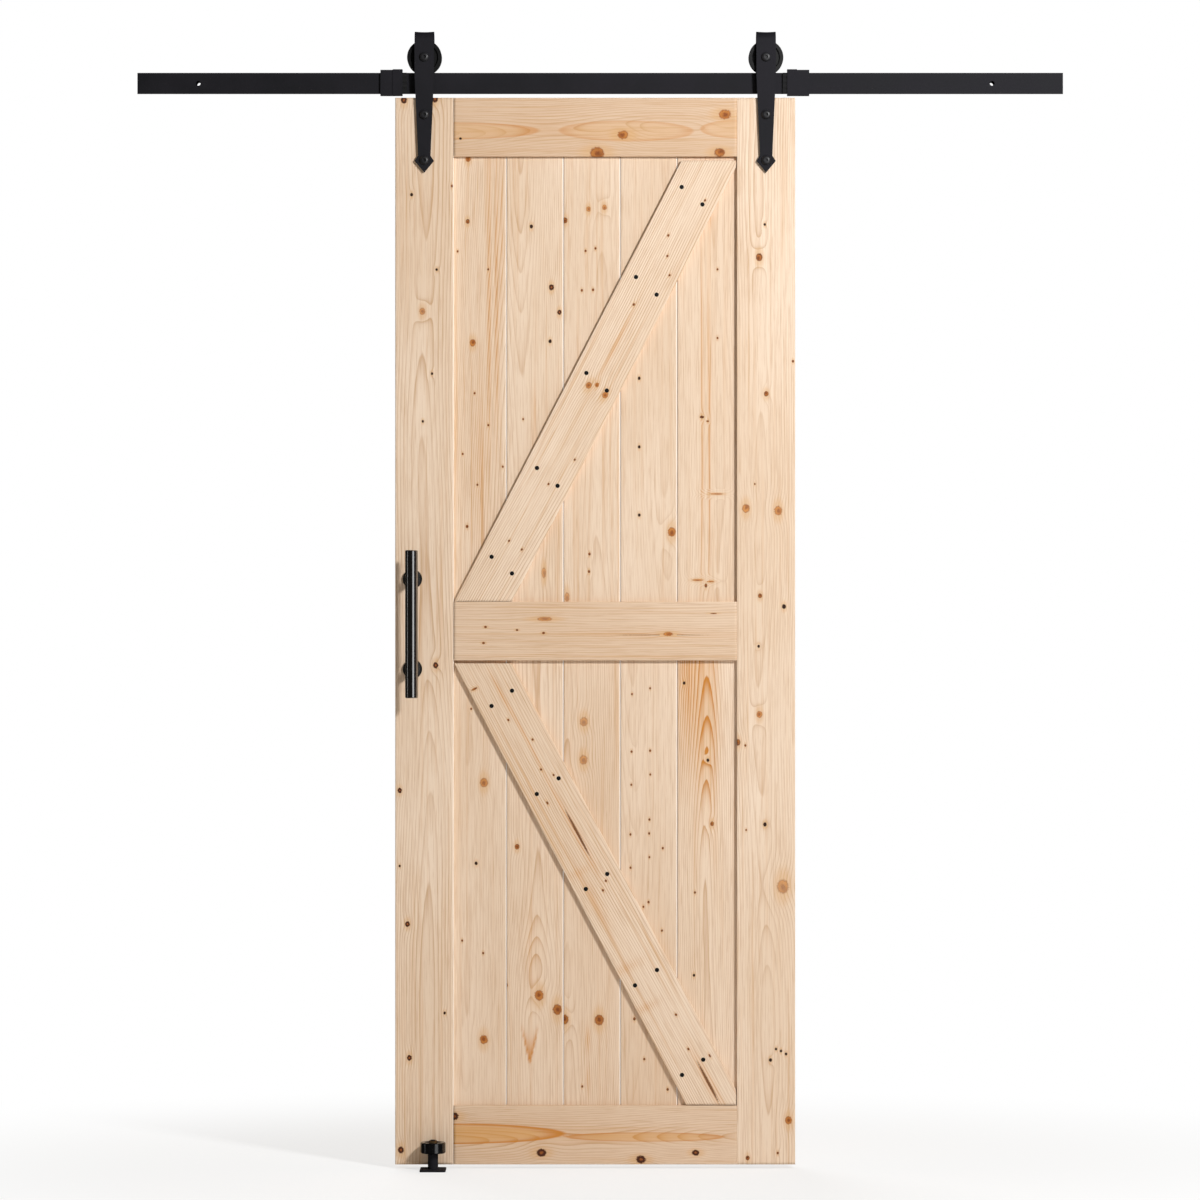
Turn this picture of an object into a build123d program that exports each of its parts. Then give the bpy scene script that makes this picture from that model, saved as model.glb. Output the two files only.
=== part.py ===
from build123d import *
import os

# Sliding barn door: a framed and braced pine door that hangs from a flat steel track on two strap hangers.
# Millimetres. +X is right seen from the front, +Y is towards the wall, +Z is up.
# The origin is on the wall, midway between the track's two fixing holes.

# Track and its stand-offs
track_left_reach = 873.0
track_right_reach = 892.0
track_height = 40.0
track_thickness = 6.0
track_arris = 0.8
fixing_spacing = 1514.0
fixing_hole = 9.0
standoff_length = 30.0
standoff_diameter = 22.0

# Door
door_width = 762.0
door_height = 2032.0
door_thickness = 35.0
door_drop = 28.5            # from the track's middle to the top of the door
stile_width = 111.0
rail_width = 112.0
upper_opening = 848.0       # height of the panel opening above the middle rail
frame_arris = 1.2
groove_depth = 12.0
tenon_gap = 0.5             # end of a tenon to the bottom of its groove
swelling_gap = 2.0          # edge of the panel to the bottom of its groove
wood_clearance = 0.2        # each side of a tenon, tongue or board in its groove

# Boards of the panels
board_thickness = 15.0
first_board_face = 101.0    # the part of the first board that shows beside the left stile
board_cover = 108.5
seams = 4
seam_chamfer = 1.6
tongue_thickness = 5.0
tongue_length = 6.0

# Diagonal braces on the front
brace_thickness = 9.5
brace_foot = 110.0          # length of the cut that faces the middle rail
brace_side_gap = 1.5
upper_brace_head = 12.0     # height of the short end beside the right stile
upper_brace_foot_gap = 0.5
upper_brace_head_gap = 7.5
lower_brace_head = 28.0
lower_brace_foot_gap = 5.5
lower_brace_head_gap = 1.5
brace_arris = 1.0

# Wheels and axles
wheel_rolling_radius = 28.5
wheel_flange_radius = 33.0
wheel_width = 20.0
wheel_hub_width = 22.0
wheel_hub_radius = 11.0
wheel_web_width = 13.0
wheel_rim_radius = 25.0     # inside of the rim
wheel_rim_slope = 1.4       # how far the inside of the rim widens from the web to the face
wheel_flange_tip = 4.0      # width of the flange at its edge
groove_side_play = 1.0
rolling_clearance = 0.3
axle_diameter = 10.0
running_clearance = 0.05

# Strap hangers
strap_thickness = 6.0
strap_gap = 24.0            # between the two legs of the hook
strap_width = 37.0
strap_crown = 49.7          # top of the hook above the axle
crown_saddle = 1.5          # dip of the bend's outer face between its two edges
taper_start = 34.0          # below the axle
neck_width = 23.5
neck_drop = 188.0           # below the axle
arrow_width = 36.5
arrow_flare = 10.0          # height from the neck to the shoulders of the point
arrow_point = 22.0          # height from the shoulders to the tip
hanger_bolt_diameter = 8.0
upper_bolt_drop = 32.5      # below the top of the door
lower_bolt_drop = 119.5
bolt_clearance = 0.25
bolt_head_diameter = 18.0
bolt_head_height = 5.0
bolt_head_rim = 1.5         # straight edge of the head under its dome
bolt_head_flat = 8.0        # diameter of the flat round the socket
bolt_head_shoulder = 13.0   # diameter where the dome has most of its height
bolt_head_shoulder_rise = 4.3
socket_width = 6.0
socket_depth = 3.0
axle_nut_width = 16.0
axle_nut_height = 7.0
sleeve_diameter = 11.0
sleeve_length = 22.0
sleeve_flange_diameter = 20.0
sleeve_flange_height = 2.5

# Track stops
left_stop_inner_edge = 367.5    # from the middle of the door
right_stop_inner_edge = 366.0
stop_inner_width = 18.5
stop_outer_width = 23.5
stop_front_wall = 5.0
stop_top_wall = 6.0
stop_bottom_wall = 3.2
stop_back_wall = 3.5
stop_lip = 9.0
stop_step = 1.0             # the outer half stands this much lower and further back
stop_clearance = 0.3
bumper_length = 8.5
bumper_inset = 1.5          # behind the stop's front
bumper_ribs = 4
bumper_rib_depth = 1.2

# Pull handle
handle_edge_distance = 33.0     # from the left edge of the door
handle_middle_drop = 1002.5     # from the top of the door
handle_post_spacing = 171.5
handle_bar_length = 280.0
handle_bar_diameter = 24.0
handle_bar_wall = 2.5
handle_bar_reach = 50.0         # from the door to the middle of the bar
handle_cap_height = 2.5
handle_plug_length = 8.0
handle_plug_clearance = 0.2
handle_base_diameter = 37.0
handle_base_height = 6.0
handle_base_edge = 1.5
handle_post_diameter = 15.0
handle_screw_diameter = 6.0
handle_screw_grip = 14.0        # length of the screw inside the post
handle_screw_head_diameter = 13.0
handle_screw_head_height = 3.0
handle_screw_socket = 4.0
handle_screw_socket_depth = 2.0

# Floor guide
floor_gap = 8.0             # under the door
guide_from_edge = 73.0      # from the left edge of the door to the roller's axis
guide_clearance = 5.0       # from the roller to the face of the door
guide_plate_width = 49.0
guide_plate_depth = 60.0
guide_plate_thickness = 3.0
guide_plate_corner = 4.0
guide_screw_spacing = 42.0
guide_screw_hole = 5.5
guide_post_diameter = 19.6
guide_post_height = 30.0
roller_diameter = 48.0
roller_height = 20.5
roller_edge = 1.5
roller_recess_diameter = 34.0
roller_recess_depth = 3.0
roller_end_play = 0.3
guide_nut_width = 13.0
guide_nut_height = 6.0
guide_stud_end = 1.0        # stud that shows above the nut

# Places that follow from the sizes
track_back = -standoff_length
track_middle = track_back - track_thickness / 2
track_front = track_back - track_thickness
axle_height = track_height / 2 + rolling_clearance + wheel_rolling_radius
door_front = track_middle - strap_gap / 2
door_back = door_front + door_thickness
door_middle = (door_front + door_back) / 2
door_half = door_width / 2
door_top = -door_drop
door_bottom = door_top - door_height
opening_half = door_half - stile_width
top_rail_bottom = door_top - rail_width
middle_rail_top = top_rail_bottom - upper_opening
middle_rail_bottom = middle_rail_top - rail_width
bottom_rail_top = door_bottom + rail_width
panel_front = door_middle - board_thickness / 2
panel_back = door_middle + board_thickness / 2
groove_width = board_thickness + 2 * wood_clearance
hanger_place = door_half - stile_width / 2
upper_bolt_height = door_top - upper_bolt_drop
lower_bolt_height = door_top - lower_bolt_drop
strap_front = door_front - strap_thickness
floor_height = door_bottom - floor_gap
handle_place = -door_half + handle_edge_distance
handle_middle = door_top - handle_middle_drop
handle_bar_middle = door_front - handle_bar_reach
guide_place = -door_half + guide_from_edge
guide_axis = door_front - guide_clearance - roller_diameter / 2
sides = {"left": -1, "right": 1}
nodes = {}


def face_of(points):
    return make_face(Polyline(*points, close=True))


def along_x(points, start, end):
    """A (y, z) outline carried along X."""
    return extrude(Plane.YZ.offset(start) * face_of(points), end - start)


def along_z(points, low, high):
    """An (x, y) outline carried along Z."""
    return extrude(Plane.XY.offset(low) * face_of(points), high - low)


def towards_wall(points, front, back):
    """An (x, z) outline carried from front to back along Y."""
    return extrude(Plane.XZ.offset(-back) * face_of(points), back - front)


def rod_y(x, z, diameter, front, back):
    """A round rod along Y."""
    return Pos(x, (front + back) / 2, z) * Rot(90, 0, 0) * Cylinder(diameter / 2, back - front)


def rod_z(x, y, diameter, low, high):
    """A round rod along Z."""
    return Pos(x, y, (low + high) / 2) * Cylinder(diameter / 2, high - low)


def hexagon_y(x, z, width, front, back):
    """A hexagon bar along Y, width across its flats."""
    outline = Plane.XZ.offset(-back) * Pos(x, z) * RegularPolygon(width / 2, 6, major_radius=False)
    return extrude(outline, back - front)


def turned_y(points, x, y, z):
    """A (radius, y) outline turned round an axis along Y."""
    return Pos(x, y, z) * revolve(face_of(points), Axis.Y)


def turned_z(points, x, y, z):
    """A (radius, z) outline turned round an axis along Z."""
    return Pos(x, y, z) * revolve(Plane.XZ * face_of(points), Axis.Z)


def frame_section(width, low_groove, high_groove):
    """Outline (across, y) of a frame member with eased edges and a groove in one or both edges."""
    groove_front = door_middle - groove_width / 2
    groove_back = door_middle + groove_width / 2
    points = [(frame_arris, door_front), (width - frame_arris, door_front), (width, door_front + frame_arris)]
    if high_groove:
        bottom = width - groove_depth
        points += [(width, groove_front), (bottom, groove_front), (bottom, groove_back), (width, groove_back)]
    points += [(width, door_back - frame_arris), (width - frame_arris, door_back)]
    points += [(frame_arris, door_back), (0, door_back - frame_arris)]
    if low_groove:
        bottom = groove_depth
        points += [(0, groove_back), (bottom, groove_back), (bottom, groove_front), (0, groove_front)]
    points += [(0, door_front + frame_arris)]
    return points


def hanger_bolt_heights():
    return [upper_bolt_height, lower_bolt_height]


def handle_post_heights():
    return [handle_middle + handle_post_spacing / 2, handle_middle - handle_post_spacing / 2]


def make_track():
    half = track_height / 2
    arris = track_arris
    section = [(track_front + arris, -half), (track_back - arris, -half), (track_back, arris - half)]
    section += [(track_back, half - arris), (track_back - arris, half), (track_front + arris, half)]
    section += [(track_front, half - arris), (track_front, arris - half)]
    track = along_x(section, -track_left_reach, track_right_reach)
    for name, side in sides.items():
        x = side * fixing_spacing / 2
        bore = rod_y(x, 0, fixing_hole, track_front - track_thickness, track_thickness)
        track -= bore
        nodes[f"{name}_standoff"] = rod_y(x, 0, standoff_diameter, track_back, 0) - bore
    nodes["track_rail"] = track


def stop_section(front, top, bottom):
    """Outline (y, z) of a clamp that wraps the track and leaves its back open between two lips."""
    half = track_height / 2 + stop_clearance
    inner_front = track_front - stop_clearance
    inner_back = track_back + stop_clearance
    back = inner_back + stop_back_wall
    points = [(front, bottom), (back, bottom), (back, stop_lip - half), (inner_back, stop_lip - half)]
    points += [(inner_back, -half), (inner_front, -half), (inner_front, half), (inner_back, half)]
    points += [(inner_back, half - stop_lip), (back, half - stop_lip), (back, top), (front, top)]
    return points


def make_stop(name, side, inner_edge):
    half = track_height / 2 + stop_clearance
    front = track_front - stop_clearance - stop_front_wall
    top = half + stop_top_wall
    bottom = -half - stop_bottom_wall
    middle_edge = inner_edge + stop_inner_width
    inner = along_x(stop_section(front, top, bottom), side * inner_edge, side * middle_edge)
    lowered = stop_section(front + stop_step, top - stop_step, bottom)
    outer = along_x(lowered, side * middle_edge, side * (middle_edge + stop_outer_width))
    nodes[f"{name}_stop"] = inner + outer
    pad_front = front + bumper_inset
    pad_back = track_front - stop_clearance
    reach = track_height / 2
    pitch = 2 * reach / bumper_ribs
    pad = [(pad_back, reach), (pad_back, -reach)]
    for index in range(bumper_ribs):
        foot = index * pitch - reach
        pad += [(pad_front + bumper_rib_depth, foot), (pad_front, foot + pitch / 3)]
        pad += [(pad_front, foot + 2 * pitch / 3)]
    pad += [(pad_front + bumper_rib_depth, reach)]
    bumper = along_x(pad, side * (inner_edge - bumper_length), side * inner_edge)
    nodes[f"{name}_stop_bumper"] = bumper


def make_stiles():
    for name, side in sides.items():
        edge = -door_half if side < 0 else door_half - stile_width
        section = frame_section(stile_width, side > 0, side < 0)
        stile = along_z([(edge + across, y) for across, y in section], door_bottom, door_top)
        for z in hanger_bolt_heights():
            x = side * hanger_place
            stile -= rod_y(x, z, hanger_bolt_diameter + 2 * bolt_clearance, door_front, door_back)
            stile -= rod_y(x, z, sleeve_diameter + 2 * bolt_clearance, door_back - sleeve_length, door_back)
        if side < 0:
            bore = handle_screw_diameter + 2 * bolt_clearance
            for z in handle_post_heights():
                stile -= rod_y(handle_place, z, bore, door_front, door_back)
        nodes[f"{name}_stile"] = stile


def make_rail(name, low, low_groove, high_groove):
    section = frame_section(rail_width, low_groove, high_groove)
    rail = along_x([(y, low + across) for across, y in section], -opening_half, opening_half)
    foot = low + (groove_depth if low_groove else 0)
    head = low + rail_width - (groove_depth if high_groove else 0)
    reach = opening_half + groove_depth - tenon_gap
    tenon = [(panel_front, foot), (panel_back, foot), (panel_back, head), (panel_front, head)]
    for side in sides.values():
        rail += along_x(tenon, side * opening_half, side * reach)
    nodes[name] = rail


def board_section(left, right, tongue, groove):
    """Outline (x, y) of a tongued and grooved board with chamfered edges that make a V at each seam."""
    chamfer = seam_chamfer
    tongue_front = door_middle - tongue_thickness / 2
    tongue_back = door_middle + tongue_thickness / 2
    points = [(left + chamfer, panel_front), (right - chamfer, panel_front), (right, panel_front + chamfer)]
    if tongue:
        tip = right + tongue_length
        points += [(right, tongue_front), (tip, tongue_front), (tip, tongue_back), (right, tongue_back)]
    points += [(right, panel_back - chamfer), (right - chamfer, panel_back)]
    points += [(left + chamfer, panel_back), (left, panel_back - chamfer)]
    if groove:
        root = left + tongue_length + wood_clearance
        front = tongue_front - wood_clearance
        back = tongue_back + wood_clearance
        points += [(left, back), (root, back), (root, front), (left, front)]
    points += [(left, panel_front + chamfer)]
    return points


def make_boards(name, low, high):
    entry = groove_depth - swelling_gap
    edges = [-opening_half - entry]
    edges += [first_board_face - opening_half + index * board_cover for index in range(seams)]
    edges += [opening_half + entry]
    for index in range(seams + 1):
        section = board_section(edges[index], edges[index + 1], index < seams, index > 0)
        nodes[f"{name}_board_{index + 1}"] = along_z(section, low - entry, high + entry)


def make_brace(name, foot, head, head_height):
    """A board across one opening, cut off against the middle rail, the far rail and the two stiles."""
    left = -opening_half + brace_side_gap
    right = opening_half - brace_side_gap
    shoulder = head - head_height if head > foot else head + head_height
    lean = (right - left - brace_foot) / (shoulder - foot)
    points = [(left, foot), (left + brace_foot, foot), (right, shoulder), (right, head)]
    points += [(left + lean * (head - foot), head)]
    brace = towards_wall(points, panel_front - brace_thickness, panel_front)
    nodes[name] = chamfer(brace.faces().sort_by(Axis.Y)[0].edges(), brace_arris)


def button_bolt(x, z, diameter, front, back):
    """A bolt with a domed head, its shank along Y from front to back."""
    shank = diameter / 2
    head = bolt_head_diameter / 2
    flat = bolt_head_flat / 2
    length = back - front
    dome = ThreePointArc(
        (head, -bolt_head_rim), (bolt_head_shoulder / 2, -bolt_head_shoulder_rise), (flat, -bolt_head_height))
    straight = Polyline(
        (flat, -bolt_head_height), (0, -bolt_head_height), (0, length), (shank, length), (shank, 0),
        (head, 0), (head, -bolt_head_rim))
    outline = dome + straight
    bolt = Pos(x, front, z) * revolve(make_face(outline), Axis.Y)
    top = front - bolt_head_height
    return bolt - hexagon_y(x, z, socket_width, top, top + socket_depth)


def make_strap(name, x):
    crown = axle_height + strap_crown
    outer = strap_gap / 2 + strap_thickness
    bend = crown - outer
    back_leg = track_middle + strap_gap / 2
    back_face = back_leg + strap_thickness
    tip = axle_height - neck_drop - arrow_flare - arrow_point
    hook = along_x([(strap_front, tip), (door_front, tip), (door_front, bend), (strap_front, bend)],
                   x - arrow_width, x + arrow_width)
    ring = Pos(x, track_middle, bend) * Rot(0, 90, 0) * (
        Cylinder(outer, strap_width) - Cylinder(strap_gap / 2, strap_width))
    arch = ring & (Pos(x, track_middle, bend + outer) * Box(strap_width, 2 * outer, 2 * outer))
    half = strap_width / 2
    saddle_radius = (half ** 2 + crown_saddle ** 2) / (2 * crown_saddle)
    arch -= rod_y(x, crown + saddle_radius - crown_saddle, 2 * saddle_radius, strap_front, back_face)
    shoulder = axle_height - neck_drop - arrow_flare
    left_edge = [(-half, bend), (-half, axle_height - taper_start)]
    left_edge += [(-neck_width / 2, axle_height - neck_drop), (-arrow_width / 2, shoulder)]
    right_edge = [(-across, z) for across, z in reversed(left_edge)]
    outline = [(x + across, z) for across, z in left_edge + [(0, tip)] + right_edge]
    front_leg = hook & towards_wall(outline, strap_front, door_front)
    back_outline = [(x - half, axle_height), (x + half, axle_height), (x + half, bend), (x - half, bend)]
    rear = towards_wall(back_outline, back_leg, back_face)
    rear += rod_y(x, axle_height, strap_width, back_leg, back_face)
    strap = front_leg + arch + rear
    strap -= rod_y(x, axle_height, axle_diameter + 2 * bolt_clearance, strap_front, back_face)
    for z in hanger_bolt_heights():
        strap -= rod_y(x, z, hanger_bolt_diameter + 2 * bolt_clearance, strap_front, door_front)
    nodes[f"{name}_hanger"] = strap


def make_wheel(name, x):
    hub = wheel_hub_width / 2
    web = wheel_web_width / 2
    rim = wheel_width / 2
    groove = track_thickness / 2 + groove_side_play
    lip = rim - wheel_flange_tip
    bore = axle_diameter / 2 + running_clearance
    half = [(bore, hub), (wheel_hub_radius, hub), (wheel_hub_radius, web), (wheel_rim_radius, web)]
    half += [(wheel_rim_radius + wheel_rim_slope, rim), (wheel_flange_radius, rim)]
    half += [(wheel_flange_radius, lip), (wheel_rolling_radius, groove)]
    outline = half + [(radius, -across) for radius, across in reversed(half)]
    nodes[f"{name}_wheel"] = turned_y(outline, x, track_middle, axle_height)


def make_hanger(name, side):
    """One hanger with its wheel and bolts; gives back the nuts that hold it."""
    x = side * hanger_place
    make_strap(name, x)
    make_wheel(name, x)
    rear = track_middle + strap_gap / 2 + strap_thickness
    axle_end = rear + axle_nut_height
    nodes[f"{name}_axle_bolt"] = button_bolt(x, axle_height, axle_diameter, strap_front, axle_end)
    nut = hexagon_y(x, axle_height, axle_nut_width, rear, axle_end)
    nut -= rod_y(x, axle_height, axle_diameter + 2 * running_clearance, rear, axle_end)
    bolt_end = door_back - sleeve_flange_height
    for place, z in zip(["upper", "lower"], hanger_bolt_heights()):
        bolt = button_bolt(x, z, hanger_bolt_diameter, strap_front, bolt_end)
        nodes[f"{name}_hanger_{place}_bolt"] = bolt
    sleeves = []
    for z in hanger_bolt_heights():
        sleeve = rod_y(x, z, sleeve_diameter, door_back - sleeve_length + bolt_clearance, door_back)
        sleeve += rod_y(x, z, sleeve_flange_diameter, door_back, door_back + sleeve_flange_height)
        sleeve -= rod_y(x, z, hanger_bolt_diameter + 2 * running_clearance, door_front, bolt_end)
        sleeves.append(sleeve)
    return nut, sleeves


def make_handle():
    x = handle_place
    radius = handle_bar_diameter / 2
    low = handle_middle - handle_bar_length / 2 + handle_cap_height
    high = handle_middle + handle_bar_length / 2 - handle_cap_height
    inner = handle_bar_diameter - 2 * handle_bar_wall
    bar = rod_z(x, handle_bar_middle, handle_bar_diameter, low, high)
    nodes["handle_bar"] = bar - rod_z(x, handle_bar_middle, inner, low, high)
    plug = inner / 2 - handle_plug_clearance
    bevel = handle_cap_height / 2
    caps = []
    for end, way in [(high, 1), (low, -1)]:
        outline = [(0, -way * handle_plug_length), (plug, -way * handle_plug_length), (plug, 0)]
        outline += [(radius, 0), (radius, way * bevel), (radius - bevel, way * handle_cap_height)]
        outline += [(0, way * handle_cap_height)]
        caps.append(turned_z(outline, x, handle_bar_middle, end))
    nodes["handle_caps"] = Compound(caps)
    base = handle_base_diameter / 2
    post = handle_post_diameter / 2
    for place, z in zip(["upper", "lower"], handle_post_heights()):
        outline = [(0, 0), (base, 0), (base, handle_base_edge - handle_base_height)]
        outline += [(base - handle_base_edge, -handle_base_height), (post, -handle_base_height)]
        outline += [(post, -handle_bar_reach), (0, -handle_bar_reach)]
        stem = turned_y(outline, x, door_front, z)
        seat = handle_bar_diameter + 2 * running_clearance
        stem -= rod_z(x, handle_bar_middle, seat, z - handle_base_diameter, z + handle_base_diameter)
        bore = handle_screw_diameter + 2 * running_clearance
        stem -= rod_y(x, z, bore, door_front - handle_screw_grip - bolt_clearance, door_front)
        nodes[f"handle_{place}_post"] = stem
    screws = []
    for z in handle_post_heights():
        shank = rod_y(x, z, handle_screw_diameter, door_front - handle_screw_grip, door_back)
        head = rod_y(x, z, handle_screw_head_diameter, door_back, door_back + handle_screw_head_height)
        top = door_back + handle_screw_head_height
        socket = hexagon_y(x, z, handle_screw_socket, top - handle_screw_socket_depth, top)
        screws.append(shank + head - socket)
    nodes["handle_screws"] = Compound(screws)


def make_guide():
    x = guide_place
    y = guide_axis
    plate_top = floor_height + guide_plate_thickness
    plate = Pos(x, y, floor_height) * extrude(
        RectangleRounded(guide_plate_width, guide_plate_depth, guide_plate_corner), guide_plate_thickness)
    for way in [-1, 1]:
        plate -= rod_z(x, y + way * guide_screw_spacing / 2, guide_screw_hole, floor_height, plate_top)
    nodes["guide_plate"] = plate
    post_top = plate_top + guide_post_height
    roller_low = post_top + roller_end_play
    nut_low = roller_low + roller_height - roller_recess_depth + roller_end_play
    nut_high = nut_low + guide_nut_height
    post = rod_z(x, y, guide_post_diameter, plate_top, post_top)
    nodes["guide_post"] = post + rod_z(x, y, axle_diameter, post_top, nut_high + guide_stud_end)
    bore = axle_diameter / 2 + running_clearance
    radius = roller_diameter / 2
    recess = roller_recess_diameter / 2
    floor = roller_height - roller_recess_depth
    outline = [(bore, 0), (radius - roller_edge, 0), (radius, roller_edge)]
    outline += [(radius, roller_height - roller_edge), (radius - roller_edge, roller_height)]
    outline += [(recess, roller_height), (recess - roller_recess_depth, floor), (bore, floor)]
    nodes["guide_roller"] = turned_z(outline, x, y, roller_low)
    hexagon = RegularPolygon(guide_nut_width / 2, 6, major_radius=False)
    nut = Pos(x, y, nut_low) * extrude(hexagon, guide_nut_height)
    nodes["guide_nut"] = nut - rod_z(x, y, axle_diameter + 2 * running_clearance, nut_low, nut_high)


make_track()
make_stop("left", -1, left_stop_inner_edge)
make_stop("right", 1, right_stop_inner_edge)
make_stiles()
make_rail("top_rail", top_rail_bottom, True, False)
make_rail("middle_rail", middle_rail_bottom, True, True)
make_rail("bottom_rail", door_bottom, False, True)
make_boards("upper", middle_rail_top, top_rail_bottom)
make_boards("lower", bottom_rail_top, middle_rail_bottom)
make_brace(
    "upper_brace",
    middle_rail_top + upper_brace_foot_gap,
    top_rail_bottom - upper_brace_head_gap,
    upper_brace_head,
)
make_brace(
    "lower_brace",
    middle_rail_bottom - lower_brace_foot_gap,
    bottom_rail_top + lower_brace_head_gap,
    lower_brace_head,
)
nuts = []
sleeves = []
for name, side in sides.items():
    nut, pair = make_hanger(name, side)
    nuts.append(nut)
    sleeves += pair
nodes["axle_nuts"] = Compound(nuts)
nodes["hanger_sleeves"] = Compound(sleeves)
make_handle()
make_guide()

os.makedirs("parts", exist_ok=True)
for name, shape in nodes.items():
    export_step(shape, f"parts/{name}.step")
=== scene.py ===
import bpy
import numpy as np
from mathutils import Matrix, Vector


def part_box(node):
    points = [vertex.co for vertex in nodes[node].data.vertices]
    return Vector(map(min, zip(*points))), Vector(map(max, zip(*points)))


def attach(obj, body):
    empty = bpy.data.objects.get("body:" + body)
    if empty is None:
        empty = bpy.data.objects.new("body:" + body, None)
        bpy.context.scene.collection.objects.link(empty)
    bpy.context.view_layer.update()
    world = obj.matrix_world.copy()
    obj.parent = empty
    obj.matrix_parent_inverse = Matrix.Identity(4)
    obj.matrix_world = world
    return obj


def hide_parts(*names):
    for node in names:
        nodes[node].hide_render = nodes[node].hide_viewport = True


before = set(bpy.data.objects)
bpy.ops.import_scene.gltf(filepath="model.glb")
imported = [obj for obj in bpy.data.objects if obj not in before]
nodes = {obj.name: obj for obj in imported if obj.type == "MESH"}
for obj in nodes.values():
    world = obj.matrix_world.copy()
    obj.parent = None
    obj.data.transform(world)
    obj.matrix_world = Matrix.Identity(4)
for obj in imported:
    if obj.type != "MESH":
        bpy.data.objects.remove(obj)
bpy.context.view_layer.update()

print("frame loaded:", len(nodes), "nodes")

# places read from the picture, in its own 1200 x 1200 pixels
photo = {"metresPerPixel": 0.001905, "doorMiddleX": 595.2, "trackMiddleY": 82.8,
         "frameMiddle": (600.0, 600.0), "frameSize": 1200.0}
pixel = photo["metresPerPixel"]
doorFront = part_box("left_stile")[0].y


def atPixel(px, py):
    # picture pixel to x and z in the plane of the door's front
    return np.array([(px - photo["doorMiddleX"]) * pixel, (photo["trackMiddleY"] - py) * pixel])


def linear(red, green, blue):
    # display colour 0 to 255 to linear light, by the usual display curve
    c = np.array([red, green, blue]) / 255.0
    low = c / 12.92
    high = ((c + 0.055) / 1.055) ** 2.4
    return tuple(float(v) for v in np.where(c <= 0.04045, low, high)) + (1.0,)


# small helpers for node trees
def newMaterial(name):
    mat = bpy.data.materials.new(name)
    mat.use_nodes = True
    tree = mat.node_tree
    tree.nodes.clear()
    out = tree.nodes.new("ShaderNodeOutputMaterial")
    surface = tree.nodes.new("ShaderNodeBsdfPrincipled")
    tree.links.new(surface.outputs[0], out.inputs["Surface"])
    return mat, tree, surface


def feed(tree, socket, value):
    # a socket links, anything else is set as the value
    if isinstance(value, bpy.types.NodeSocket):
        tree.links.new(value, socket)
    elif value is not None:
        socket.default_value = value


def calc(tree, operation, a, b=None, clamp=False):
    n = tree.nodes.new("ShaderNodeMath")
    n.operation = operation
    n.use_clamp = clamp
    for socket, value in zip(n.inputs, (a, b)):
        feed(tree, socket, value)
    return n.outputs[0]


def times(tree, first, *others):
    # product of sockets and numbers, from left to right
    for other in others:
        first = calc(tree, "MULTIPLY", first, other)
    return first


def drift(tree, noise, share):
    # noise about its middle of a half, times a share
    return times(tree, calc(tree, "SUBTRACT", noise, 0.5), share)


def distance(tree, across, along, alongShare=1.0):
    # root of across squared plus a share of along squared
    acrossSquare, alongSquare = [calc(tree, "POWER", way, 2.0) for way in (across, along)]
    return calc(tree, "SQRT", calc(tree, "ADD", acrossSquare, times(tree, alongSquare, alongShare)))


def span(tree, value, low, high, newLow=0.0, newHigh=1.0, smooth=True):
    n = tree.nodes.new("ShaderNodeMapRange")
    n.interpolation_type = "SMOOTHSTEP" if smooth else "LINEAR"
    names = ("Value", "From Min", "From Max", "To Min", "To Max")
    for name, v in zip(names, (value, low, high, newLow, newHigh)):
        feed(tree, n.inputs[name], v)
    return n.outputs[0]


def blendColour(tree, factor, a, b):
    n = tree.nodes.new("ShaderNodeMix")
    n.data_type = "RGBA"
    for socket, value in ((0, factor), (6, a), (7, b)):     # the colour sockets of the mix node
        feed(tree, n.inputs[socket], value)
    return n.outputs[2]


def noiseAt(tree, place, scale, detail, roughness, stretch=(1.0, 1.0, 1.0)):
    turn = tree.nodes.new("ShaderNodeMapping")
    feed(tree, turn.inputs["Vector"], place)
    turn.inputs["Scale"].default_value = stretch
    n = tree.nodes.new("ShaderNodeTexNoise")
    feed(tree, n.inputs["Vector"], turn.outputs[0])
    n.inputs["Scale"].default_value = scale
    n.inputs["Detail"].default_value = detail
    n.inputs["Roughness"].default_value = roughness
    return n.outputs[0]


def bumpFrom(tree, surface, height, strength, depth):
    n = tree.nodes.new("ShaderNodeBump")
    n.inputs["Strength"].default_value = strength
    n.inputs["Distance"].default_value = depth
    feed(tree, n.inputs["Height"], height)
    tree.links.new(n.outputs[0], surface.inputs["Normal"])


def readAttribute(tree, name, output):
    n = tree.nodes.new("ShaderNodeAttribute")
    n.attribute_name = name
    return n.outputs[output]


def readThree(tree, name):
    # the three parts of a vector attribute
    n = tree.nodes.new("ShaderNodeSeparateXYZ")
    tree.links.new(readAttribute(tree, name, "Vector"), n.inputs[0])
    return n.outputs[0], n.outputs[1], n.outputs[2]


def addObject(name, data):
    holder = bpy.data.objects.new(name, data)
    bpy.context.scene.collection.objects.link(holder)
    return holder


def meshPiece(name, points, faces, material, body, smooth=True):
    mesh = bpy.data.meshes.new(name)
    mesh.from_pydata(points.tolist(), [], faces.tolist())
    mesh.update()
    mesh.polygons.foreach_set("use_smooth", np.full(len(faces), smooth))
    mesh.materials.append(material)
    piece = addObject(name, mesh)
    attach(piece, body)
    return piece


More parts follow.
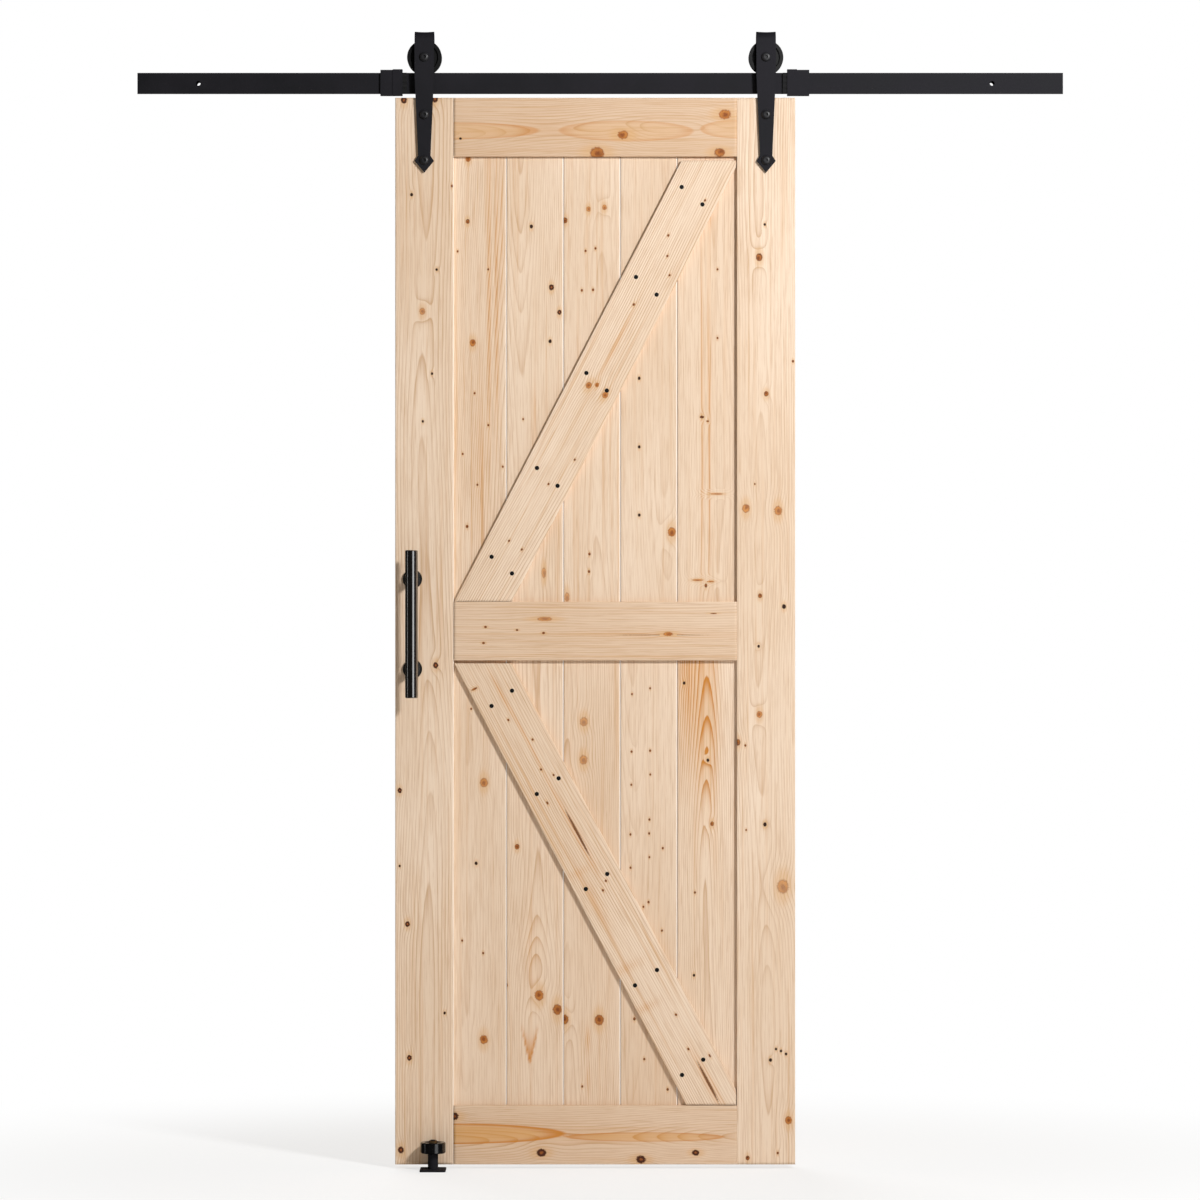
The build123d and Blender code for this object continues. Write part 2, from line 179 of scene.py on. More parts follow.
# raw pine: growth rings from the ring attribute, knots and cracks from the mark attribute
pine = {
    "early": (232, 208, 183), "pale": (242, 221, 199), "late": (188, 141, 92), "streak": (214, 168, 118),
    "heart": (202, 130, 48), "heartGround": (218, 164, 98), "knotBody": (206, 138, 66),
    "knotDark": (154, 82, 32), "knotRim": (64, 30, 14), "knotPin": (50, 27, 14), "knotHalo": (214, 164, 102),
    # the two edge colours here are a painted highlight and a painted shade, for rounded board edges facing or
    # turned away from the lamp
    "crack": (112, 62, 26), "paintedEdgeLighting": (252, 246, 236), "paintedSeamShade": (128, 82, 46),
    # how strongly each of these shows
    "ringContrast": 1.05, "fibreContrast": 0.34, "streakContrast": 0.48, "heartGroundShare": 0.40,
    "crackShare": 0.92, "paintedSeamShadeShare": 0.5, "roughness": 0.60, "shine": 0.25,
    # year lines, lenses and knots: how sharp, how ragged, how far off centre
    "ringWander": 0.8, "lineSharpness": 5.0, "heartSharpness": 2.8, "lensWander": 0.35, "knotRagged": 0.6,
    "haloAlong": 0.35, "coreDrift": 2.2, "knotRings": 8.5, "crackFrom": 1.2,
    "ringRelief": 0.30, "fibreRelief": 0.5, "markRelief": 0.9, "bump": 0.30, "bumpDepth": 0.0004,
}
# noise in the wood: scale, detail, roughness, share of that scale along the grain
pineNoise = {
    "wander": (24.0, 3.0, 0.5, 0.10), "fibre": (700.0, 3.0, 0.6, 0.022), "streak": (150.0, 4.0, 0.62, 0.012),
    "cloud": (5.0, 3.0, 0.5, 0.30), "fade": (11.0, 2.0, 0.5, 0.25), "rough": (330.0, 2.0, 0.5, 1.0),
}
# where each look begins and ends, then its share at both ends where that isn't 0 to 1
pineSpan = {
    # by the phase of a year's growth
    "yearEnd": (0.93, 1.0, 1.0, 0.0), "heartYearEnd": (0.93, 1.0, 1.4, 0.0),
    # by noise
    "ringFade": (0.30, 0.70, 0.35, 1.0), "cloud": (0.32, 0.68), "streak": (0.50, 0.75), "fibre": (0.48, 0.66),
    "heartStreak": (0.50, 0.70, 0.0, 0.5), "rimBroken": (0.42, 0.58, 0.25, 1.0),
    # by lens radius
    "lensIn": (0.74, 0.99), "lensOut": (0.99, 1.06, 1.0, 0.0), "lensTint": (0.70, 1.04, 0.70, 0.0),
    # by knot radius, and knotRings by a wave of it
    "inside": (0.78, 1.14, 1.0, 0.0), "halo": (0.8, 2.1, 0.42, 0.0), "rim": (0.50, 0.86),
    "ringedRim": (0.22, 0.46), "pinCore": (0.12, 0.55, 1.0, 0.0), "coreDark": (0.25, 0.85, 0.75, 0.0),
    "crack": (0.55, 1.10, 1.0, 0.0), "knotRings": (0.0, 0.9, 0.0, 0.75),
    # by darkness
    "present": (0.02, 0.35), "bodyShare": (0.30, 0.60, 0.55, 1.0), "bodyDark": (0.45, 0.85, 0.0, 0.90),
    "rimDark": (0.60, 0.72, 0.12, 0.95), "ringedFrom": (0.735, 0.745), "ringedTo": (0.765, 0.775, 1.0, 0.0),
    "pinDark": (0.52, 0.90, 0.15, 1.0), "pinFull": (0.79, 0.86),
}


def pineMaterial():
    mat, tree, surface = newMaterial("raw_pine")
    place = readAttribute(tree, "boardPlace", "Vector")     # across, depth, along the board, in metres
    noise = {name: noiseAt(tree, place, scale, detail, roughness, (1.0, 1.0, along))
             for name, (scale, detail, roughness, along) in pineNoise.items()}

    def share(value, name):
        return span(tree, value, *pineSpan[name])

    def tint(base, amount, colour):
        return blendColour(tree, amount, base, linear(*pine[colour]))

    # one year's growth darkens slowly and ends at a thin sharp line
    ring = readAttribute(tree, "ringCount", "Fac")
    tone, ringLook, streakLook = readThree(tree, "boardLook")
    phase = calc(tree, "FRACT", calc(tree, "ADD", ring, times(tree, noise["wander"], pine["ringWander"])))
    late = times(tree, calc(tree, "POWER", phase, pine["lineSharpness"]), share(phase, "yearEnd"))
    ringShare = times(tree, late, share(noise["fade"], "ringFade"), ringLook, pine["ringContrast"])
    streakShare = times(tree, share(noise["streak"], "streak"), streakLook, pine["streakContrast"])
    base = tint(linear(*pine["early"]), share(noise["cloud"], "cloud"), "pale")
    base = tint(base, streakShare, "streak")
    # heartwood: an orange ground, with broader year lines and streaks
    heart = readAttribute(tree, "heartwood", "Fac")
    base = tint(base, times(tree, heart, pine["heartGroundShare"]), "heartGround")
    base = tint(base, ringShare, "late")
    broad = times(tree, calc(tree, "POWER", phase, pine["heartSharpness"]), share(phase, "heartYearEnd"))
    heartLine = calc(tree, "ADD", broad, share(noise["streak"], "heartStreak"))
    base = tint(base, calc(tree, "MULTIPLY", heart, heartLine, clamp=True), "heart")
    base = tint(base, times(tree, share(noise["fibre"], "fibre"), pine["fibreContrast"]), "late")
    base = tint(base, tone, "late")
    # grain lenses: an orange outline where the lens radius is 1, a faint tint inside; flames are all orange
    lensRadius, lensLook, flameLook = readThree(tree, "lensPlace")
    lensRadius = calc(tree, "ADD", lensRadius, drift(tree, noise["wander"], pine["lensWander"]))
    lensLine = times(tree, share(lensRadius, "lensIn"), share(lensRadius, "lensOut"))
    base = tint(base, times(tree, share(lensRadius, "lensTint"), lensLook), "heartGround")
    base = tint(base, times(tree, lensLine, lensLook), "heart")
    base = tint(base, flameLook, "heart")
    # marks: distance in knot radii with a ragged outline, and darkness: 0.4 for a sound orange knot,
    # 0.75 for a ringed one, 1 for a black one, over crackFrom for a crack
    markAcross, markAlong, dark = readThree(tree, "markPlace")
    ragged = drift(tree, noise["rough"], pine["knotRagged"])
    radius = calc(tree, "ADD", distance(tree, markAcross, markAlong), ragged)
    longRadius = distance(tree, markAcross, markAlong, pine["haloAlong"])
    coreAcross = calc(tree, "ADD", markAcross, drift(tree, noise["cloud"], pine["coreDrift"]))
    coreAlong = calc(tree, "ADD", markAlong, drift(tree, noise["fade"], pine["coreDrift"]))
    core = calc(tree, "ADD", distance(tree, coreAcross, coreAlong), ragged)
    isCrack = calc(tree, "GREATER_THAN", dark, pine["crackFrom"])
    present = times(tree, calc(tree, "SUBTRACT", 1.0, isCrack), share(dark, "present"))
    inside = times(tree, share(radius, "inside"), present)
    halo = times(tree, share(longRadius, "halo"), present)
    rings = share(calc(tree, "SINE", times(tree, radius, pine["knotRings"])), "knotRings")
    # a ringed knot has a broad black rim round a paler middle, other rims are thin and broken
    ringed = times(tree, share(dark, "ringedFrom"), share(dark, "ringedTo"))
    rim = calc(tree, "MAXIMUM", share(radius, "rim"), times(tree, ringed, share(radius, "ringedRim")))
    unbroken = calc(tree, "MAXIMUM", share(noise["rough"], "rimBroken"), ringed)
    rim = times(tree, rim, inside, share(dark, "rimDark"), unbroken)
    pin = times(tree, share(core, "pinCore"), share(dark, "pinDark"), calc(tree, "SUBTRACT", 1.0, ringed))
    pin = calc(tree, "MAXIMUM", pin, share(dark, "pinFull"))
    body = tint(linear(*pine["knotBody"]), share(dark, "bodyDark"), "knotDark")
    body = tint(body, rings, "knotDark")
    body = tint(body, share(core, "coreDark"), "knotDark")
    body = tint(body, pin, "knotPin")
    base = tint(base, halo, "knotHalo")
    base = blendColour(tree, times(tree, inside, share(dark, "bodyShare")), base, body)
    base = tint(base, rim, "knotRim")
    crack = times(tree, share(radius, "crack"), isCrack)
    base = tint(base, times(tree, crack, pine["crackShare"]), "crack")
    # board edges: above 0 a painted highlight on the rounded edge that faces the lamp, below 0 painted shade
    # on the rounded edge turned away from it, in the seam
    edge = readAttribute(tree, "paintedEdgeLighting", "Fac")
    base = tint(base, calc(tree, "MAXIMUM", edge, 0.0), "paintedEdgeLighting")
    seam = times(tree, calc(tree, "MINIMUM", edge, 0.0), -pine["paintedSeamShadeShare"])
    base = tint(base, seam, "paintedSeamShade")
    tree.links.new(base, surface.inputs["Base Color"])
    surface.inputs["Roughness"].default_value = pine["roughness"]
    surface.inputs["Specular IOR Level"].default_value = pine["shine"]
    # year lines and fibres stand up, knots and cracks are sunk
    fibreRelief = times(tree, noise["fibre"], pine["fibreRelief"])
    raised = calc(tree, "ADD", times(tree, late, pine["ringRelief"]), fibreRelief)
    sunk = calc(tree, "MAXIMUM", times(tree, inside, calc(tree, "MINIMUM", dark, 1.0)), crack)
    relief = calc(tree, "SUBTRACT", raised, times(tree, sunk, pine["markRelief"]))
    bumpFrom(tree, surface, relief, pine["bump"], pine["bumpDepth"])
    return mat


# coats on the hardware: colour in patches, fine grain, roughness from patch to patch
coats = {
    "blackSteel": {"colour": (31, 30, 36), "shade": (22, 22, 27), "roughness": (0.62, 0.76), "shine": 0.16,
                   "grain": 1500.0, "bump": 0.08},
    "satinBlack": {"colour": (10, 10, 12), "shade": (7, 7, 8), "roughness": (0.13, 0.16), "shine": 1.0,
                   "index": 2.0, "grain": 2200.0, "bump": 0.0},
    "boltBlack": {"colour": (38, 38, 41), "shade": (30, 30, 33), "roughness": (0.34, 0.44), "shine": 0.4,
                  "grain": 1800.0, "bump": 0.03},
    "screwBlack": {"colour": (14, 14, 16), "shade": (8, 8, 9), "roughness": (0.45, 0.60), "shine": 0.20,
                   "grain": 2600.0, "bump": 0.05},
    "wheelNylon": {"colour": (12, 12, 13), "shade": (7, 7, 8), "roughness": (0.34, 0.46), "shine": 0.26,
                   "grain": 900.0, "bump": 0.05},
    "rollerGloss": {"colour": (14, 14, 16), "shade": (9, 9, 11), "roughness": (0.14, 0.18), "shine": 0.6,
                    "grain": 900.0, "bump": 0.01},
    "bumperRubber": {"colour": (24, 24, 26), "shade": (16, 16, 17), "roughness": (0.65, 0.82), "shine": 0.25,
                     "grain": 1100.0, "bump": 0.12},
    "yellowZinc": {"colour": (150, 122, 84), "shade": (104, 80, 52), "roughness": (0.30, 0.48), "shine": 0.5,
                   "metal": 0.9, "grain": 700.0, "bump": 0.04},
}
# patches: scale, detail, roughness; fine grain: detail, roughness; specks are paler by speckLift
coatGrain = {"patch": (9.0, 4.0, 0.6), "fine": (2.0, 0.5), "patchSpan": (0.30, 0.72),
             "speckSpan": (0.60, 0.80, 0.0, 0.20), "speckLift": 22, "roughSpan": (0.25, 0.75),
             "index": 1.5, "bumpDepth": 0.0003}


def coatMaterial(name):
    look = coats[name]
    mat, tree, surface = newMaterial(name)
    where = tree.nodes.new("ShaderNodeTexCoord").outputs["Object"]
    patch = noiseAt(tree, where, *coatGrain["patch"])
    fine = noiseAt(tree, where, look["grain"], *coatGrain["fine"])
    colour, shade = linear(*look["colour"]), linear(*look["shade"])
    paler = linear(*[c + coatGrain["speckLift"] for c in look["colour"]])
    mixed = blendColour(tree, span(tree, patch, *coatGrain["patchSpan"]), shade, colour)
    mixed = blendColour(tree, span(tree, fine, *coatGrain["speckSpan"]), mixed, paler)
    tree.links.new(mixed, surface.inputs["Base Color"])
    roughness = span(tree, patch, *coatGrain["roughSpan"], *look["roughness"])
    tree.links.new(roughness, surface.inputs["Roughness"])
    surface.inputs["Metallic"].default_value = look.get("metal", 0.0)
    surface.inputs["Specular IOR Level"].default_value = look["shine"]
    surface.inputs["IOR"].default_value = look.get("index", coatGrain["index"])
    if look["bump"]:
        bumpFrom(tree, surface, fine, look["bump"], coatGrain["bumpDepth"])
    return mat


pineMat = pineMaterial()
coatMats = {name: coatMaterial(name) for name in coats}
print("materials made")


# one wooden board, as a rounded section carried along the board's length
boardGrid = {"acrossStep": 0.0034, "fewestAcross": 6, "alongStep": 0.0055, "ease": 0.0011, "easeSteps": 3}


def boardSection(width, front, back, ease):
    # closed loop: front face from edge to edge, round edge, back face returned, round edge
    count = max(boardGrid["fewestAcross"], int(round(width / boardGrid["acrossStep"])))
    flat = np.linspace(ease, width - ease, count)
    angle = np.linspace(0.0, np.pi / 2, boardGrid["easeSteps"] + 1)[1:]
    bendAcross = width - ease + ease * np.sin(angle)
    bendDeep = front + ease - ease * np.cos(angle)
    farAcross, farDeep = width - bendAcross, front + back - bendDeep
    across = np.concatenate([flat, bendAcross, bendAcross[::-1], flat[::-1], farAcross, farAcross[::-1]])
    deep = np.concatenate([np.full(count, front), bendDeep, farDeep[::-1],
                           np.full(count, back), farDeep, bendDeep[::-1]])
    return across, deep


def ruledBoard(spec):
    # point = sideA(v) + (sideB(v) - sideA(v)) * across / width, at the section's depth
    sideA, sideB = np.array(spec["sideA"]), np.array(spec["sideB"])
    length = np.linalg.norm(sideA[-1] - sideA[0])
    grainWay = (sideA[-1] - sideA[0]) / length
    crossWay = np.array([grainWay[1], -grainWay[0]])
    if crossWay @ (sideB[0] - sideA[0]) < 0:
        crossWay = -crossWay
    width = float((sideB[0] - sideA[0]) @ crossWay)
    rows = int(np.ceil(length / boardGrid["alongStep"])) + 1
    across, deep = boardSection(width, spec["front"], spec["back"], spec.get("ease", boardGrid["ease"]))
    share = np.linspace(0.0, 1.0, rows)
    ends = [0.0, 1.0]
    lineA = np.stack([np.interp(share, ends, sideA[:, k]) for k in (0, 1)], 1)
    lineB = np.stack([np.interp(share, spec.get("knees", ends), sideB[:, k]) for k in (0, 1)], 1)
    flat = lineA[:, None, :] + (lineB - lineA)[:, None, :] * (across / width)[None, :, None]
    points = np.stack([flat[:, :, 0], np.broadcast_to(deep, flat.shape[:2]), flat[:, :, 1]], 2).reshape(-1, 3)
    # four-sided faces between each loop and the next
    loop = len(across)
    row = np.arange(rows - 1)[:, None] * loop
    column = np.arange(loop)[None, :]
    after = (column + 1) % loop
    sides = np.stack([row + column, row + after, row + loop + after, row + loop + column], 2).reshape(-1, 4)
    # end caps join each front point to the back point opposite
    near = np.arange(loop // 2)
    opposite = (loop - 1 - near - boardGrid["easeSteps"]) % loop
    cap = np.stack([near[:-1], opposite[:-1], opposite[1:], near[1:]], 1)
    faces = np.concatenate([sides, cap, (cap + (rows - 1) * loop)[:, ::-1]])
    # faces must look outwards: the front face looks towards -Y
    corner = points[faces[0]]
    if np.cross(corner[1] - corner[0], corner[2] - corner[0])[1] > 0:
        faces = faces[:, ::-1]
    middle = sideA[0] + 0.5 * (sideB[0] - sideA[0])
    return points, faces, {"middle": middle, "grainWay": grainWay, "crossWay": crossWay}


# how rings run through a board
grain = {
    "sway": [(0.007, 2.3), (0.004, 5.9), (0.004, 3.1), (0.0015, 8.3)],     # metres, radians per metre
    "waver": 0.18, "waverAlong": 12.0, "waverAcross": 40.0,                # rings, radians per metre
    "swell": 0.9, "swellAcross": 2.6, "swellAlong": 3.4,                   # in knot radii
    "turn": 6.28, "turns": 6, "noiseShift": 40.0,                          # random starts of waves and noise
    "nearMark": 4.0, "far": 9.0,                                           # in mark or lens radii
}
# an orange V: widths of its arms and tip, softness of its outline, where it fades out above
flame = {"arm": 0.30, "tip": 0.60, "soft": 0.12, "top": 1.15, "fade": 0.5}
# a knot is longer along the grain than across it, and one under pinRadius, in pixels, is a single dark spot:
# made smaller and less than black, unless its darkness is fullFrom or more
knots = {"longer": 1.2, "pinRadius": 2.0, "pinSmaller": 0.76, "pinDark": 0.81,
         "fullFrom": 0.8, "fullDark": 0.86}


def hump(gap, reach):
    # bell curve: 1 at no gap, falling away over the reach
    return np.exp(-(gap / reach) ** 2)


def onBoard(board, px, py):
    # picture pixel to its place across and along the board
    spot = atPixel(px, py) - board["middle"]
    return spot @ board["crossWay"], spot @ board["grainWay"]


def markRow(board, mark):
    # a mark in pixels to its place across and along, half width, half length and darkness
    px, py, radius, dark = mark[:4]
    longer = mark[4] if len(mark) > 4 else knots["longer"]
    if radius < knots["pinRadius"] and dark < pine["crackFrom"]:
        if dark < knots["fullFrom"]:
            radius, dark = radius * knots["pinSmaller"], knots["pinDark"]
        else:
            dark = max(dark, knots["fullDark"])
    size = radius * pixel
    return *onBoard(board, px, py), size, size * longer, dark


def ringField(spec, board, turns, marks):
    # year rings are tubes round a pith that wanders beside and behind the board: distance from it / ringStep
    across, along = board["across"], board["along"]
    sway = [reach * np.sin(along * rate + turn) for (reach, rate), turn in zip(grain["sway"], turns)]
    pithAcross = spec["pith"][0] + sway[0] + sway[1] + spec["lean"] * along     # two sways beside, two behind
    pithDepth = spec["pith"][1] + spec["rise"] * along + sway[2] + sway[3]
    # where the log bends, grain closes to a tip on both sides
    for px, py, height, halfLong in spec.get("bows", []):
        pithDepth = pithDepth + height * hump(along - onBoard(board, px, py)[1], halfLong * pixel)
    # where the log tapers, nested arches point up its slope
    for px, py, height, halfLong in spec.get("ramps", []):
        pithDepth = pithDepth + height * np.tanh((along - onBoard(board, px, py)[1]) / (halfLong * pixel))
    waver = np.sin(along * grain["waverAlong"] + across * grain["waverAcross"] + turns[4])
    reach = np.sqrt((across - pithAcross) ** 2 + (board["depth"] + pithDepth) ** 2)
    ring = reach / spec["ringStep"] + grain["waver"] * waver
    # rings swell round each knot
    for markAcross, markAlong, size, tall, _ in marks[marks[:, 4] <= pine["crackFrom"]]:
        bell = hump(across - markAcross, grain["swellAcross"] * size)
        bell = bell * hump(along - markAlong, grain["swellAlong"] * tall)
        ring += grain["swell"] * size / spec["ringStep"] * bell
    return ring


def heartField(spec, board):
    # orange streaks: a sum of bells across and along the board
    across, along = board["across"], board["along"]
    heart = np.zeros(len(across))
    for px, py, halfWide, halfLong, strength in spec.get("heart", []):
        spotAcross, spotAlong = onBoard(board, px, py)
        bell = hump(across - spotAcross, halfWide * pixel) * hump(along - spotAlong, halfLong * pixel)
        heart += strength * bell
    return np.clip(heart, 0.0, 1.0)


def lensField(spec, board):
    # distance from the nearest grain lens in lens radii, that lens's strength, and the share of flame
    across, along = board["across"], board["along"]
    field = np.zeros((len(across), 3))
    field[:, 0] = grain["far"]
    for px, py, halfWide, halfLong, strength in spec.get("lenses", []):
        spotAcross, spotAlong = onBoard(board, px, py)
        wide, tall = halfWide * pixel, halfLong * pixel
        radius = np.hypot((across - spotAcross) / wide, (along - spotAlong) / tall)
        field[:, 1] = np.where(radius < field[:, 0], strength, field[:, 1])
        field[:, 0] = np.minimum(radius, field[:, 0])
    # a flame is full at its lower tip, with two arms above
    for px, py, halfWide, armLong, strength in spec.get("flames", []):
        spotAcross, spotAlong = onBoard(board, px, py)
        up = (along - spotAlong) / (armLong * pixel)
        inset = up - np.abs(across - spotAcross) / (halfWide * pixel)
        outline = np.clip(inset / flame["soft"] + 0.5, 0.0, 1.0)
        filled = np.maximum(hump(inset, flame["arm"]), hump(up, flame["tip"]))
        field[:, 2] = strength * outline * filled * np.clip((flame["top"] - up) / flame["fade"], 0.0, 1.0)
    return field


def edgeField(spec, board, isFront):
    # painted highlight where the front's right edge is rounded towards the lamp, less painted shade on the
    # rounded left edge in the seam
    across = board["across"]
    if not spec.get("pale"):
        return np.zeros(len(across))
    pale = np.clip((across - across.max()) / spec["ease"] + 1.0, 0.0, 1.0)
    shade = np.clip((across.min() - across) / spec["ease"] + 1.0, 0.0, 1.0)
    return (pale - shade * spec["shaded"]) * isFront


def markField(board, faces, marks, isFront):
    # each face keeps its place in the nearest mark, in mark radii, so a knot stays sharp on a coarse grid
    field = np.full((len(faces), 4, 3), grain["far"])
    field[:, :, 2] = 0.0
    if len(marks):
        across, along = board["across"][faces], board["along"][faces]
        markAcross, markAlong, size, tall, dark = marks.T
        gapAcross = (across.mean(1)[:, None] - markAcross) / size
        gapAlong = (along.mean(1)[:, None] - markAlong) / tall
        gap = np.hypot(gapAcross, gapAlong)
        # pin knots and cracks don't reach the back
        atBack = ~isFront[faces].any(1)
        gap[np.ix_(atBack, size < knots["pinRadius"] * pixel)] = grain["far"]
        nearest = gap.argmin(1)
        near = gap[np.arange(len(faces)), nearest] < grain["nearMark"]
        pick = nearest[near]
        field[near, :, 0] = (across[near] - markAcross[pick][:, None]) / size[pick][:, None]
        field[near, :, 1] = (along[near] - markAlong[pick][:, None]) / tall[pick][:, None]
        field[near, :, 2] = dark[pick][:, None]
    return field.reshape(-1, 3)


def writeAttribute(mesh, name, values, domain="POINT"):
    # one number or one vector for each point or corner
    kind, part = ("FLOAT", "value") if values.ndim == 1 else ("FLOAT_VECTOR", "vector")
    layer = mesh.attributes.new(name, kind, domain)
    layer.data.foreach_set(part, np.ascontiguousarray(values, np.float32).ravel())


def pineBoard(spec):
    # a ruled board whose points carry their place in the wood
    points, faces, board = ruledBoard(spec)
    flat = points[:, [0, 2]] - board["middle"]
    board["across"], board["along"] = flat @ board["crossWay"], flat @ board["grainWay"]
    board["depth"] = points[:, 1] - spec["front"]
    isFront = board["depth"] < 0.5 * board["depth"].max()
    rng = np.random.default_rng(spec["seed"])
    turns = rng.uniform(0.0, grain["turn"], grain["turns"])
    shift = rng.uniform(-grain["noiseShift"], grain["noiseShift"], 3)
    marks = np.array([markRow(board, mark) for mark in spec["marks"]]).reshape(-1, 5)
    place = np.stack([board["across"], board["depth"], board["along"]], 1) + shift
    look = np.array([spec["tone"], spec.get("rings", 1.0), spec.get("streaks", 1.0)])
    piece = meshPiece(spec["name"], points, faces, pineMat, "door")
    mesh = piece.data
    writeAttribute(mesh, "boardPlace", place)
    writeAttribute(mesh, "ringCount", ringField(spec, board, turns, marks))
    writeAttribute(mesh, "lensPlace", lensField(spec, board))
    writeAttribute(mesh, "heartwood", heartField(spec, board))
    # painted highlight and painted shade along the rounded front edges
    writeAttribute(mesh, "paintedEdgeLighting", edgeField(spec, board, isFront))
    writeAttribute(mesh, "boardLook", np.repeat(look[None], len(points), 0))
    writeAttribute(mesh, "markPlace", markField(board, faces, marks, isFront), "CORNER")
    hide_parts(spec["name"].replace("pine_", ""))


def uprightSides(node):
    low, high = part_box(node)
    return [(low.x, low.z), (low.x, high.z)], [(high.x, low.z), (high.x, high.z)], low.y, high.y


def levelSides(node):
    # the tenons at a rail's ends are hidden inside the stiles
    low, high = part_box(node)
    left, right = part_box("left_stile")[1].x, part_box("right_stile")[0].x
    return [(left, low.z), (right, low.z)], [(left, high.z), (right, high.z)], low.y, high.y


# stiles and rails of the door. For every board, pith is how far the log's middle lies beside and behind the
# front in metres, rise and lean are its slopes, tone darkens the board, rings and streaks are strengths.
# In picture pixels: marks (x, y, radius, darkness, length over width), heart, lenses and flames (x, y, half
# width, half length, strength), bows and ramps of the pith (x, y, height in metres, half length).
# ease rounds the edges, pale paints a highlight on the front's right edge, shaded paints shade on its left
# one
frameBoards = {
    "left_stile": {
        "way": "up", "seed": 11, "pith": (0.002, 0.040), "rise": 0.010, "lean": 0.002, "ringStep": 0.0036,
        "tone": 0.03, "rings": 1.0, "ease": 0.0016, "pale": True, "shaded": False,
        "marks": [(403.9, 100, 3, 0.75), (435, 98.9, 3, 0.75), (411.6, 194.7, 1.5, 0.9),
                  (452, 186, 1.6, 0.7), (436.6, 269.6, 1.2, 0.9), (422.3, 311.4, 3, 0.45),
                  (432, 373.6, 1.2, 0.8), (422.8, 421.4, 1.2, 0.8), (435.6, 665.3, 2.6, 0.75),
                  (399.7, 790.5, 2.2, 0.75), (399.7, 866, 1.1, 0.8), (407.5, 924, 2.4, 0.75),
                  (444.7, 1013, 1.3, 0.9), (409.4, 1057.8, 2.4, 0.75), (400.9, 1150, 2.9, 0.75)],
    },
    "right_stile": {
        "way": "up", "seed": 12, "pith": (-0.004, 0.044), "rise": -0.008, "lean": -0.002,
        "ringStep": 0.0036, "tone": 0.03, "rings": 0.8,
        "ramps": [(767, 955, 0.007, 60)],
        "marks": [(764.8, 224.5, 1.2, 0.9), (759.2, 257.2, 3.3, 0.7), (766.2, 393.8, 2.3, 0.7),
                  (793, 361.3, 1.5, 0.7), (745.9, 508.4, 3.8, 0.5), (778.2, 510.7, 4, 0.5),
                  (754.8, 484, 1.1, 0.7), (760, 595.8, 2, 0.7), (784, 606.6, 2, 1.0),
                  (758.6, 646.3, 1.3, 0.8), (759.4, 714.4, 3, 0.52), (737.8, 742.4, 2.7, 0.7),
                  (745.3, 745.5, 1.4, 0.7), (764.9, 824.5, 1.8, 0.8), (746.2, 830, 1.2, 0.7),
                  (782.8, 886.5, 6, 0.42), (770.5, 1060, 1.6, 0.8), (776, 1049, 1.2, 0.8),
                  (781, 1051, 1.2, 0.8), (786, 1054, 1.3, 0.8), (788.5, 1120.3, 3.5, 0.6),
                  (777.8, 1153, 1.5, 0.7), (747.6, 1158, 2.0, 0.8)],
    },
    "top_rail": {
        "way": "across", "seed": 13, "pith": (-0.004, 0.022), "rise": 0.004, "lean": 0.0,
        "ringStep": 0.0034, "tone": 0.40, "rings": 0.8,
        "lenses": [(440, 131, 8.5, 95, 0.5), (628, 131, 10, 66, 0.4), (738, 129, 9, 38, 0.4)],
        "marks": [(597, 153, 6, 0.64), (623, 134.7, 4.5, 0.6), (725, 114.3, 5, 0.6),
                  (719.5, 152.5, 4.5, 0.65), (460.4, 138.6, 1.2, 0.9)],
        "heart": [(545, 130, 9, 45, 0.35)],
        "bows": [(552, 130, 0.013, 70)],
    },
    "middle_rail": {
        "way": "across", "seed": 14, "pith": (0.09, 0.050), "rise": -0.010, "lean": 0.004,
        "ringStep": 0.0040, "tone": 0.24, "rings": 1.0,
        "marks": [(544.5, 619, 2.2, 0.45, 3.5), (485.5, 627, 1.5, 0.6), (483.5, 643, 1.5, 0.6),
                  (517, 630, 1.4, 0.6), (543.5, 633, 1.6, 0.6), (668, 634, 2.2, 0.55, 2.2),
                  (662, 635, 0.35, 1.5, 150.0), (713.5, 613.5, 0.7, 0.5, 6.0)],
        "heart": [(660, 635, 5, 75, 0.45)],
    },
    "bottom_rail": {
        "way": "across", "seed": 15, "pith": (-0.002, 0.016), "rise": 0.004, "lean": 0.0,
        "ringStep": 0.0034, "tone": 0.27, "rings": 0.9,
        "lenses": [(450, 1134, 10, 110, 0.95), (645, 1137, 4.5, 78, 0.7)],
        "marks": [(453.8, 1116.3, 4, 0.75), (541.4, 1152.7, 4, 0.75), (695.7, 1152.8, 3, 0.75),
                  (640.8, 1159.4, 4, 0.75)],
        "heart": [(470, 1134, 10, 75, 0.9), (640, 1137, 5, 85, 0.75)],
        "bows": [(600, 1135, 0.016, 110)],
    },
}

for node, look in frameBoards.items():
    sideA, sideB, front, back = (uprightSides if look["way"] == "up" else levelSides)(node)
    pineBoard({"name": "pine_" + node, "sideA": sideA, "sideB": sideB, "front": front, "back": back, **look})
print("frame boards made")


